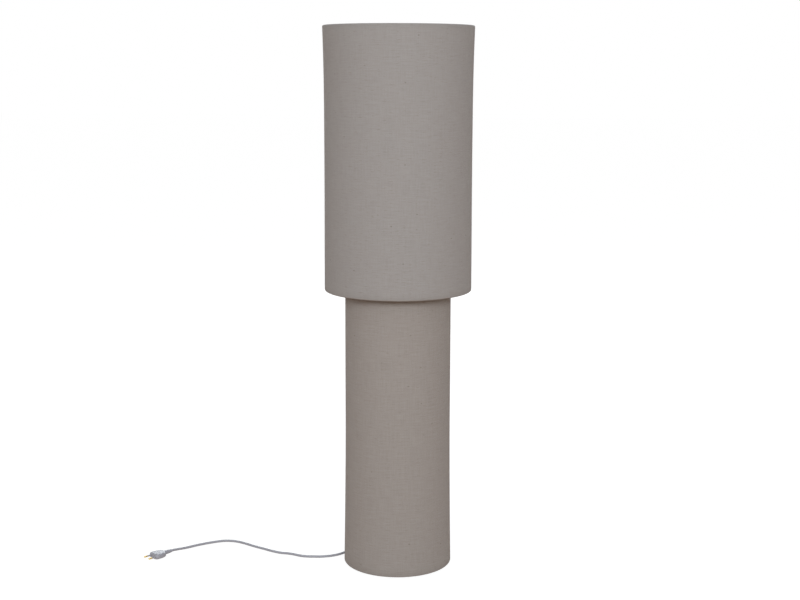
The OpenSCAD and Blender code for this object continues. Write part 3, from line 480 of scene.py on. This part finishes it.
def linen_drum(name, drum, seam_turn, cloth, seed):
    """The cloth's line, moved half its thickness to each side, is a closed loop that turns round the
    axis. The outside swells by a few tenths of a millimetre: soft waves, small puckers that fade away
    from a rim, and the lap at the back, which rises slowly to its folded edge and drops there."""
    line = linen_line(drum)
    slope = unit(np.gradient(line, axis=0))
    across = np.stack([slope[:, 1], -slope[:, 0]], -1) * linen_t / 2
    loop = np.concatenate([line + across, (line - across)[::-1]])
    outer = np.concatenate([np.ones(len(line)), np.zeros(len(line))])
    z = loop[:, 1]
    from_rim = np.minimum(z - drum.low, drum.high - z)
    on_wall = outer * np.clip((from_rim - 0.001) / 0.004, 0, 1)

    # one column to a degree, and closer ones where the lap rises and drops
    half_lap = lap_width / drum.waist_d
    even = np.linspace(0, 2 * math.pi, 361)[:-1]
    close = np.array([0.5, 0.96, 1.0, 1.04, 1.12])
    close = np.concatenate([-close[::-1], [0], close]) * half_lap + seam_turn
    turn = np.sort(np.concatenate([even[np.abs(even - seam_turn) > 1.3 * half_lap], close]))

    pick = np.random.default_rng(seed)

    def ripples(times_round, least, lean):
        """The mean of cosines that go so many times round, each with a strength from least to 1, a
        start and a lean along the height of its own."""
        return sum(pick.uniform(least, 1) * np.cos(k * turn[None] + pick.uniform(0, 6.3)
                   + pick.uniform(-lean, lean) * z[:, None]) for k in times_round) / len(times_round)

    waves, puckers = ripples((2, 3, 5, 7), 0.3, 6), ripples((31, 47, 66, 83), 0.4, 60)
    fade = np.exp(-from_rim / pucker_fade)[:, None]
    across_lap = (turn - seam_turn) / half_lap
    lap = np.clip((across_lap + 1.1) / 0.6, 0, 1) * np.clip((1.0 - across_lap) / 0.04, 0, 1)
    swell = wave_swell * (1 + waves) + pucker_swell * puckers * fade + lap_rise * lap[None]
    r = loop[:, 0][:, None] + on_wall[:, None] * swell
    p = np.stack([r * np.cos(turn), r * np.sin(turn), np.broadcast_to(z[:, None], r.shape)], -1)

    u = np.append(turn, 2 * math.pi) * drum.waist_d / 2
    v = run_along(line)
    v = np.concatenate([v, v[::-1], v[:1]])
    uv = np.stack(np.broadcast_arrays(u[None], v[:, None]), -1)
    # the masks: where the hem is doubled, and a narrow band of painted shadow along the lap's folded edge
    hem = np.clip((turned_in + 0.004 - from_rim) / 0.0012, 0, 1)[:, None] * np.ones_like(r)
    fold_shadow = np.clip(1 - np.abs(across_lap - 1.02) / 0.09, 0, 1)[None] * on_wall[:, None]
    piece = surface(name, p, True, uv, sharp=60, masks={"hem": hem, "fold_shadow": fold_shadow})
    piece.data.materials.append(cloth)
    return piece


column_drum = Drum(low=0.002, high=0.712, low_d=0.258, waist_d=0.2494, top_d=0.249, waist_z=0.360,
                   low_power=1.6, top_power=2)
column_cover = linen_drum("column_linen", column_drum, seam_turn=math.radians(123),
                          cloth=column_cloth_painted_shade, seed=11)
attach(column_cover, "lamp")
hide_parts("column_fabric")


# ---- Cord outlet ----
# The cord leaves the back through a bend sleeve of soft grey plastic, and a black clamp with a
# bar and two screws grips it on the base plate. Inside it rises through the tube to the holder.

def eased(node, name, width, material, body="lamp"):
    """A CAD piece with its loose triangles merged to the micrometre, what is flat joined to one face,
    and its edges rounded over by so much."""
    flat_angle, edge_angle = math.radians(0.6), math.radians(32)
    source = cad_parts[node].data
    place = np.empty(len(source.vertices) * 3)
    source.vertices.foreach_get("co", place)
    corner = np.empty(len(source.loops), int)
    source.loops.foreach_get("vertex_index", corner)
    points, back = np.unique(np.round(place.reshape(-1, 3), 6), axis=0, return_inverse=True)
    triangles = back.ravel()[corner].reshape(-1, 3)
    distinct = (triangles != np.roll(triangles, 1, axis=1)).all(axis=1)
    mesh = bpy.data.meshes.new(name)
    mesh.from_pydata(points.tolist(), [], triangles[distinct].tolist())
    shape = bmesh.new()
    shape.from_mesh(mesh)
    bmesh.ops.dissolve_limit(shape, angle_limit=flat_angle, verts=shape.verts, edges=shape.edges)
    shape.to_mesh(mesh)
    shape.free()
    mesh.polygons.foreach_set("use_smooth", np.ones(len(mesh.polygons), bool))
    mesh.materials.append(material)
    piece = bpy.data.objects.new(name, mesh)
    bpy.context.scene.collection.objects.link(piece)
    rounding = piece.modifiers.new("rounding", "BEVEL")
    rounding.width = width
    rounding.segments = 2
    rounding.limit_method = "ANGLE"
    rounding.angle_limit = edge_angle
    rounding.harden_normals = True
    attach(piece, body)
    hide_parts(node)
    return piece


black_plastic = finish("black_plastic", tint(58, 58, 60), tint(44, 44, 46), rough=(0.45, 0.6),
                       grain_size=0.0005, depth=0.00003, dust=0.5)
cord_skin = finish("cord_skin", tint(166, 166, 175), tint(154, 154, 163), rough=(0.38, 0.5),
                   grain_size=0.0007, depth=0.00002, mottle_size=0.02, dust=0.05)
dress(black_plastic, "cord_grip", "cord_grip_bar")
dress(zinc, "cord_grip_screws")
dress(cord_skin, "inner_cord")
eased("wall_grommet", "bend_sleeve", 0.0002, cord_skin)

# ---- Lampholder ----
# A white moulded holder with a standard screw socket: a domed cap, a skirt with an outside thread
# for the shade's two rings, and inside it a glazed insert with a thread shell and a contact.

moulded = finish("moulded_plastic", tint(238, 237, 232), tint(229, 228, 222), rough=(0.3, 0.42),
                 grain_size=0.0006, depth=0.00002, Coat_Weight=0.1)
glaze = finish("glaze", tint(238, 234, 222), tint(228, 223, 210), rough=(0.12, 0.2),
               grain_size=0.002, depth=0.00004, Coat_Weight=0.6)
brass = finish("brass", tint(214, 186, 120), tint(190, 160, 96), rough=(0.25, 0.4),
               grain_size=0.001, depth=0.00001, mottle_size=0.006, Metallic=1.0)
dress(moulded, "holder_cap")
dress(glaze, "holder_insert")
dress(brass, "holder_thread_shell", "holder_contact")

pinhole = 0.00015               # the radius that a point on the axis gets


def turned(name, profile, material, replaced, thread=None, columns=96, sharp=40, axis=(0, 0),
           body="lamp"):
    """A profile of (radius, height) points turned round an upright axis. One that keeps clear of the
    axis closes to a hollow ring, and any other is capped at its pinholes. A thread (pitch, depth,
    from, to) cuts into what is widest, by its depth times half of 1 + cos(2 pi height / pitch - turn),
    fading in and out over one pitch."""
    r, z = np.array(profile).T
    r = np.maximum(r, pinhole)
    turn = np.linspace(0, 2 * math.pi, columns, endpoint=False)
    radius, height = np.broadcast_arrays(r[:, None], z[:, None] + 0 * turn)
    if thread:
        pitch, depth, start, end = thread
        fade = np.clip(np.minimum(height - start, end - height) / pitch, 0, 1)
        groove = (0.5 + 0.5 * np.cos(2 * math.pi * height / pitch - turn)) * depth
        radius = radius - fade * groove * (radius > r.max() - 1.2 * depth)
    p = np.stack([axis[0] + radius * np.cos(turn), axis[1] + radius * np.sin(turn), height], -1)
    uv = np.stack(np.meshgrid(np.append(turn, 2 * math.pi) * r.max(), np.append(z, z[0])), -1)
    piece = surface(name, p, r.min() > 4 * pinhole, uv, sharp)
    piece.data.materials.append(material)
    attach(piece, body)
    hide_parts(replaced)
    return piece


def steps(*corners, every=0.0003):
    """Points along straight lines between the corners, about a given step apart."""
    corners = np.array(corners)
    at = run_along(corners)
    fine = np.unique(np.concatenate([at, np.linspace(0, at[-1], int(at[-1] / every))]))
    return np.stack([np.interp(fine, at, corners[:, k]) for k in (0, 1)], -1)


def above(level, *points):
    """Points (radius, height) whose heights are given from a level."""
    return np.array(points) + (0, level)


skirt_low, skirt_high, skirt_r, skirt_bore, skirt_neck = 0.7356, 0.7736, 0.0198, 0.0176, 0.0150
low_chamfer, high_chamfer = 0.0006, 0.0008
# out from the bore's lower edge, up the threaded side, in over the top and down the neck to the bore
skirt_profile = np.concatenate([
    [(skirt_bore, skirt_low), (skirt_r - low_chamfer, skirt_low)],
    steps((skirt_r, skirt_low + low_chamfer), (skirt_r, skirt_high - high_chamfer), every=0.00032),
    above(skirt_high, (skirt_r - high_chamfer, 0), (skirt_neck + 0.0001, 0), (skirt_neck, -0.0004),
          (skirt_neck, -0.003), (skirt_bore, -0.005))])
turned("threaded_skirt", skirt_profile, moulded, "holder_skirt",
       thread=(0.0025, 0.0009, skirt_low + 0.002, skirt_high - 0.002))

# ---- Shade's rings ----
# Two moulded rings with ribbed rims run on the skirt's thread, one under the shade's fitter and
# one over it, and clamp it between them.

eased("lower_shade_nut", "lower_ring_nut", 0.00025, moulded)
eased("upper_shade_nut", "upper_ring_nut", 0.00025, moulded)

# ---- Bulb ----
# A light bulb with a nickel-plated rolled screw cap, a black glass insulator with a soldered
# contact below, a white flared body, and a frosted globe of 60 mm.

nickel = finish("nickel", tint(212, 208, 202), tint(192, 188, 182), rough=(0.2, 0.34),
                grain_size=0.001, depth=0.00001, mottle_size=0.005, Metallic=1.0)
black_glass = finish("black_glass", tint(34, 34, 38), tint(26, 26, 30), rough=(0.1, 0.2),
                     grain_size=0.002, depth=0.00003)
solder = finish("solder", tint(196, 196, 198), tint(170, 170, 174), rough=(0.3, 0.5),
                grain_size=0.0006, depth=0.00008, Metallic=1.0)
bulb_white = finish("bulb_white", tint(240, 239, 235), tint(232, 231, 226), rough=(0.35, 0.45),
                    grain_size=0.0005, depth=0.00001)
frosted = finish("frosted", tint(246, 246, 242), tint(242, 241, 236), rough=(0.4, 0.5),
                 grain_size=0.0004, depth=0.00001, dust=0.2, Subsurface_Weight=0.3,
                 Subsurface_Scale=0.004)

tip, contact_r, contact_h = 0.7519, 0.0045, 0.0012
quarter = np.linspace(0, math.pi / 2, 9)[1:]
contact_dome = np.stack([contact_r * np.sin(quarter), contact_h * (1 - np.cos(quarter))], -1)
contact_profile = above(tip, (0, 0), *contact_dome, (contact_r, 2 * contact_h), (0, 2 * contact_h))
turned("bulb_contact", contact_profile, solder, "bulb_cap", columns=40)

insulator_profile = above(tip, (0.0002, 0.0012), (0.0050, 0.0012), (0.0062, 0.0016),
                          (0.0105, 0.0042), (0.0110, 0.0052), (0.0002, 0.0052))
turned("bulb_insulator", insulator_profile, black_glass, "bulb_cap")

screw_r, screw_low, screw_high, cap_top = 0.0130, 0.0058, 0.0232, 0.0240        # heights from the tip
cap_profile = np.concatenate([
    above(tip, (0, 0.0046), (0.0106, 0.0046), (0.0119, 0.0050)),
    steps(*above(tip, (screw_r, screw_low), (screw_r, screw_high))),
    above(tip, (screw_r + 0.0001, cap_top), (0, cap_top))])
turned("bulb_screw_cap", cap_profile, nickel, "bulb_cap",
       thread=(0.00362, 0.0011, tip + 0.0052, tip + 0.0215))

# the body widens from its neck as 1 - cos over a quarter turn
neck_r, neck_z, rim_r, rim_z = 0.0126, tip + cap_top, 0.024, 0.8119
widening = np.linspace(0, 1, 20)[:-1]
flare = np.stack([neck_r + (rim_r - neck_r) * (1 - np.cos(widening * math.pi / 2)),
                  neck_z + (rim_z - neck_z) * widening], -1)
body_profile = np.concatenate([
    [(0, neck_z)], flare, above(rim_z, (rim_r - 0.0004, -0.0002), (rim_r - 0.0006, 0), (0, 0))])
turned("bulb_body_shell", body_profile, bulb_white, "bulb_body")

globe_z, globe_r = 0.8299, 0.030
rise = np.linspace(-math.asin((globe_z - rim_z) / globe_r), math.pi / 2, 40)[:-1]
globe_profile = np.concatenate([
    [(0, rim_z)], np.stack([globe_r * np.cos(rise), globe_z + globe_r * np.sin(rise)], -1),
    [(0, globe_z + globe_r)]])
turned("bulb_frosted_globe", globe_profile, frosted, "bulb_globe", sharp=60)

# ---- Shade wires ----
# The bottom ring carries three bent arms up to a flat fitter ring, all of 4 mm wire, welded and
# coated white. The top ring lies loose in the hem.

dress(wire_coat, "shade_carrier", "shade_top_ring")

# ---- Shade liner and linen ----
# The drum shade is made as the column's cover is: the same linen on the same white film, rolled
# round a wire ring at each rim, with its lap at the back.

dress(film, "shade_liner")
shade_drum = Drum(low=0.668, high=1.280, low_d=0.346, waist_d=0.343, top_d=0.350, waist_z=1.01072,
                  low_power=2, top_power=3)
# the shade's copy of the linen is a little lighter and cooler than the column's; the difference between the
# two is painted shade
shade_cloth = linen_finish("shade_cloth", tint(168, 165, 164), tint(154, 150, 148))
shade_cover = linen_drum("shade_linen", shade_drum, seam_turn=math.radians(78), cloth=shade_cloth,
                         seed=23)
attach(shade_cover, "lamp")
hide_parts("shade_fabric")

# ---- Foot switch ----
# A press switch sits in the cord on the floor behind the lamp: two moulded halves held by two
# screws from below, and a round button over a spring that closes the contacts.

switch_skin = finish("switch_plastic", tint(190, 190, 196), tint(180, 180, 187), rough=(0.36, 0.48),
                     grain_size=0.0005, depth=0.00003)
button_skin = finish("button_plastic", tint(176, 176, 182), tint(164, 164, 171), rough=(0.3, 0.42),
                     grain_size=0.0004, depth=0.00002)
switch_halves = [eased("switch_base", "switch_bottom_half", 0.0004, switch_skin),
                 eased("switch_cover", "switch_top_half", 0.0004, switch_skin)]
dress(zinc, "switch_screws")
dress(brass, "switch_contacts")

switch_at, button_r, button_low, button_top = (-0.044, 0.215), 0.012, 0.0164, 0.0255
flange_r, flange_top, spring_seat_r, spring_seat_z, easing = 0.014, 0.0179, 0.0055, 0.0224, 0.0003
crown_share, crown_drop, shoulder_h = 0.86, 0.0012, 0.0022
groove_r, groove_width, groove_depth = 0.0082, 0.0005, 0.00022
over_edge = np.linspace(0, math.pi / 2, 12)
shoulder = np.stack([button_r * (crown_share + (1 - crown_share) * np.cos(over_edge)),
                     button_top - crown_drop - shoulder_h + shoulder_h * np.sin(over_edge)], -1)
# the crown falls with the square of the radius, with a shallow ring cut in it
inward = np.linspace(crown_share * button_r, 0, 60)[1:]
crown = (button_top - crown_drop * (inward / inward[0]) ** 2
         - groove_depth * np.exp(-((inward - groove_r) / groove_width) ** 2))
# out and down inside the hollow over the spring, round the flange, up the side and over the crown
button_profile = np.concatenate([
    [(0, spring_seat_z), (spring_seat_r, spring_seat_z), (spring_seat_r, button_low),
     (flange_r - easing, button_low), (flange_r, button_low + easing), (flange_r, flange_top - easing),
     (flange_r - easing, flange_top), (button_r, flange_top)], shoulder, np.stack([inward, crown], -1)])
push_button = turned("switch_push_button", button_profile, button_skin,
                     "switch_button", axis=switch_at, body="button")


def tube(name, line, radius, columns=20):
    """Rings round a line: at each point, radius times cos and sin of the turn, along the level
    direction square to the line and the one square to both."""
    ahead = unit(np.gradient(line, axis=0))
    side = unit(np.cross(ahead, (0, 0, 1)))
    up = np.cross(side, ahead)
    turn = np.linspace(0, 2 * math.pi, columns, endpoint=False)
    to_side, to_top = np.cos(turn)[None, :, None] * side[:, None], np.sin(turn)[None, :, None] * up[:, None]
    uv = np.stack(np.meshgrid(np.append(turn, 2 * math.pi) * radius, run_along(line)), -1)
    return surface(name, line[:, None] + radius * (to_side + to_top), False, uv)


# the spring's wire climbs in a helix whose first and last turns lie nearly flat
spring_wire, spring_r, spring_low, spring_high, spring_turns = 0.0009, 0.00405, 0.00255, 0.02185, 5
flat_share, top_lift, points_a_turn = 0.14, 1.2 * spring_wire, 40
wound = np.linspace(0, 1, points_a_turn * spring_turns + 1)
first_turn = np.minimum(wound / flat_share, 1)
last_turn = np.clip((wound - 1 + flat_share) / flat_share, 0, 1)
between = np.clip((wound - flat_share) / (1 - 2 * flat_share), 0, 1)
spring_z = (spring_low + spring_wire * first_turn + top_lift * last_turn
            + (spring_high - spring_low - spring_wire - top_lift) * between)
spring_angle = 2 * math.pi * spring_turns * wound
spring_line = np.stack([switch_at[0] + spring_r * np.cos(spring_angle),
                        switch_at[1] + spring_r * np.sin(spring_angle), spring_z], -1)
spring = tube("button_spring", spring_line, spring_wire / 2, columns=12)
spring.data.materials.append(zinc)
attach(spring, "lamp")
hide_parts("switch_spring")
# pressed home by 3 mm, it keeps 17.4 of the 20.4 mm between the switch's floor and the button
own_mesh(spring)


# ---- Plug ----
# A flat moulded two-pin plug lies at the cord's end, with a ribbed sleeve where the cord enters
# and two round brass pins, sheathed in plastic over their first half.

def smooth_line(points, step):
    """A line through the points, about a given step apart: between two of them runs the cubic whose
    slope at each is that between its neighbours, over the length of the chords."""
    at = run_along(points)
    chord, slope = np.diff(at), np.gradient(points, at, axis=0)
    s = np.linspace(0, at[-1], int(at[-1] / step))
    k = np.clip(np.searchsorted(at, s, side="right") - 1, 0, len(chord) - 1)
    h, t = chord[k][:, None], ((s - at[k]) / chord[k])[:, None]
    return ((2 * t ** 3 - 3 * t ** 2 + 1) * points[k] + (t ** 3 - 2 * t ** 2 + t) * h * slope[k]
            + (3 * t ** 2 - 2 * t ** 3) * points[k + 1] + (t ** 3 - t ** 2) * h * slope[k + 1])


foot_r, cord_r = 0.129, 0.003
plug_entry = np.array([-foot_r - 0.430, 0.037, 0.00685])
plug_turn, plug_length, pin_sheath = math.radians(225), 0.054, 0.0095
into_plug = np.array([math.cos(plug_turn), math.sin(plug_turn), 0])
beside_plug = np.array([-into_plug[1], into_plug[0], 0])
sleeve_length, first_rib, rib_pitch, rib_depth = 0.019, 0.002, 0.004, 0.0009
squareness, squared_over = 1.6, 0.006

# in millimetres: along the plug, half its width, half its height
plug_form = smooth_line(np.array([
    (0, 4.0, 4.0), (5, 4.35, 4.35), (10, 4.7, 4.7), (15, 5.1, 5.1), (19.4, 5.4, 5.4), (20, 6.6, 5.5),
    (21.5, 9.4, 6.0), (25, 12.8, 6.7), (33, 16.2, 6.85), (41, 17.4, 6.85), (48, 17.3, 6.85),
    (52, 15.2, 6.6), (53.5, 13.8, 5.7), (54, 12.6, 4.7)]) / 1000, 0.0004)
in_plug, plug_w, plug_h = plug_form.T
# a groove is the square of a cosine's lower half, between two ribs of the sleeve
groove = np.maximum(0, -np.cos(2 * math.pi * (in_plug - rib_pitch / 4) / rib_pitch)) ** 2
groove *= rib_depth * (in_plug < sleeve_length) * np.clip((in_plug - first_rib) / 0.001, 0, 1)
# each section is a superellipse, round in the sleeve and squarer in the body: the shares of the half
# width and height, each to the power of 2 / power, add up to 1
power = 2 / (2 + squareness * np.clip((in_plug - sleeve_length) / squared_over, 0, 1))[:, None]
plug_round = np.linspace(0, 2 * math.pi, 80, endpoint=False)[None]
wide, tall = (np.sign(wave) * np.abs(wave) ** power for wave in (np.cos(plug_round), np.sin(plug_round)))
sideways = ((plug_w - groove)[:, None] * wide)[..., None] * beside_plug
upwards = ((plug_h - groove)[:, None] * tall)[..., None] * np.array([0, 0, 1])
plug_points = plug_entry + in_plug[:, None, None] * into_plug + sideways + upwards
plug = surface("flat_plug", plug_points, False, sharp=40)
plug.data.materials.append(cord_skin)
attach(plug, "lamp")
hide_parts("plug_body")

pin_brass = finish("pin_brass", tint(214, 186, 120), tint(190, 160, 96), rough=(0.25, 0.4),
                   grain_size=0.001, depth=0.00001, mottle_size=0.006)
pin_tree, pin_shader = pin_brass.node_tree, pin_brass.node_tree.nodes["Principled BSDF"]
pin_place = put(pin_tree, "ShaderNodeTexCoord").outputs["Object"]
pin_reach = put(pin_tree, "ShaderNodeVectorMath", {0: pin_place, 1: tuple(into_plug)},
                operation="DOT_PRODUCT").outputs["Value"]
bare = calc(pin_tree, "GREATER_THAN", pin_reach,
            float(plug_entry @ into_plug) + plug_length + pin_sheath)
metal = pin_shader.inputs["Base Color"].links[0].from_socket
pin_tree.links.new(mix_colour(pin_tree, bare, tint(168, 168, 176), metal), pin_shader.inputs["Base Color"])
pin_tree.links.new(bare, pin_shader.inputs["Metallic"])
dress(pin_brass, "plug_pins")


# ---- Cord ----
# A round PVC cord, 6 mm thick. Behind the lamp its spare length is wound in a flat round coil and
# tied, then it runs to the foot switch, round the column, and in two loose bends to the plug.

def route(place, *moves):
    """Points given from a place, in millimetres."""
    return place + np.array(moves) / 1000


outlet_turn, sleeve_tip_r, outlet_z = math.radians(55), 0.15877, 0.022
outward = np.array([math.cos(outlet_turn), math.sin(outlet_turn), 0])
sleeve_tip = sleeve_tip_r * outward + (0, 0, outlet_z)

# the coil winds in, climbs to a second layer half way, and winds out again
coil_x, coil_y, coil_r, coil_pitch, coil_turns = 0.068, foot_r + 0.074, 0.042, 0.0066, 5.375
tie_t, straight, coil_points = 0.0009, 0.008, 24                # the last is for each turn
half_way = math.pi * coil_turns
coil_angle = np.linspace(0, 2 * half_way, int(coil_turns * coil_points) + 1)
coil_reach = coil_r - coil_pitch * (half_way - np.abs(coil_angle - half_way)) / (2 * math.pi)
lifted = np.clip((coil_angle - half_way + math.pi / 2) / math.pi, 0, 1)
coil = np.stack([coil_x + coil_reach * np.cos(coil_angle), coil_y + coil_reach * np.sin(coil_angle),
                 cord_r + tie_t + coil_pitch * lifted ** 2 * (3 - 2 * lifted)], -1)
coil_start = coil[0] - (0, straight, 0)
coil_way = np.array([-math.sin(2 * half_way), math.cos(2 * half_way), 0])
coil_end = coil[-1] + straight * coil_way

switch_right, switch_left = np.array([-0.004, 0.215, 0.009]), np.array([-0.084, 0.215, 0.009])
lead_route = np.concatenate([
    [sleeve_tip - 0.003 * outward, sleeve_tip, sleeve_tip + 0.007 * outward],
    route(sleeve_tip, (9, 12, -1), (13, 19, -3.6), (16, 26, -7.2), (18, 34, -11.4)),
    route(coil_start, (0, -23, 2.9), (0, -15, 0.7), (0, -7, 0)), [coil_start], coil,
    [coil_end, coil_end + 0.006 * coil_way],
    route(switch_right, (26, 3.4, 1.3), (19, 0.9, 0.9), (12, 0, 0.4), (7, 0, 0), (0, 0, 0), (-5, 0, 0))])
lead_line = smooth_line(lead_route, 0.002)
lead = tube("cord_from_lamp", lead_line, cord_r)

# in millimetres: left of the foot, behind the lamp's axis, above the floor
tail_left = np.array([
    (-9, 164, 0), (-9, 148, 0), (-9, 132, 0), (-10, 116, 0), (-11, 100, 0), (-11, 86, 0), (-10, 74, 0),
    (-9, 64, 0), (-7, 54, 0), (-2, 44, 0), (6, 34, 0), (16, 25, 0), (29, 17, 0), (43, 12, 0), (59, 9, 0),
    (75, 9, 0), (91, 10, 0), (105, 13, 0), (117, 19, 0), (129, 26, 0), (143, 31, 0), (159, 35, 0),
    (173, 42, 0), (188, 52, 0), (203, 63, 0), (219, 74, 0), (235, 86, 0), (251, 99, 0), (268, 111, 0),
    (283, 118, 0), (299, 121, 0), (315, 119, 0), (330, 113, 0), (344, 106, 0), (358, 98, 0),
    (372, 89, 0), (385, 79, 0), (398, 68, 0.4), (410, 57, 1.8), (421, 46, 3.4)]) / 1000
tail_route = np.concatenate([
    route(switch_left, (5, 0, 0), (0, 0, 0), (-7, 0, 0), (-15, -2, -1.6), (-23, -7, -3.8),
          (-29, -15, -5.4), (-33, -25, -6), (-35, -37, -6)),
    np.stack([-foot_r - tail_left[:, 0], tail_left[:, 1], cord_r + tail_left[:, 2]], -1),
    [plug_entry - 0.008 * into_plug, plug_entry, plug_entry + 0.004 * into_plug]])
tail_line = smooth_line(tail_route, 0.002)
tail = tube("cord_to_plug", tail_line, cord_r)

for piece, replaced in ((lead, ("cord_lead", "cord_coil", "cord_link")), (tail, ("cord_tail",))):
    piece.data.materials.append(cord_skin)
    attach(piece, "lamp")
    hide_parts(*replaced)
tie_skin = finish("tie_plastic", tint(226, 226, 224), tint(212, 212, 210), rough=(0.4, 0.5),
                  grain_size=0.0004, depth=0.00003)
tie = eased("cord_tie", "coil_tie", 0.00012, tie_skin)
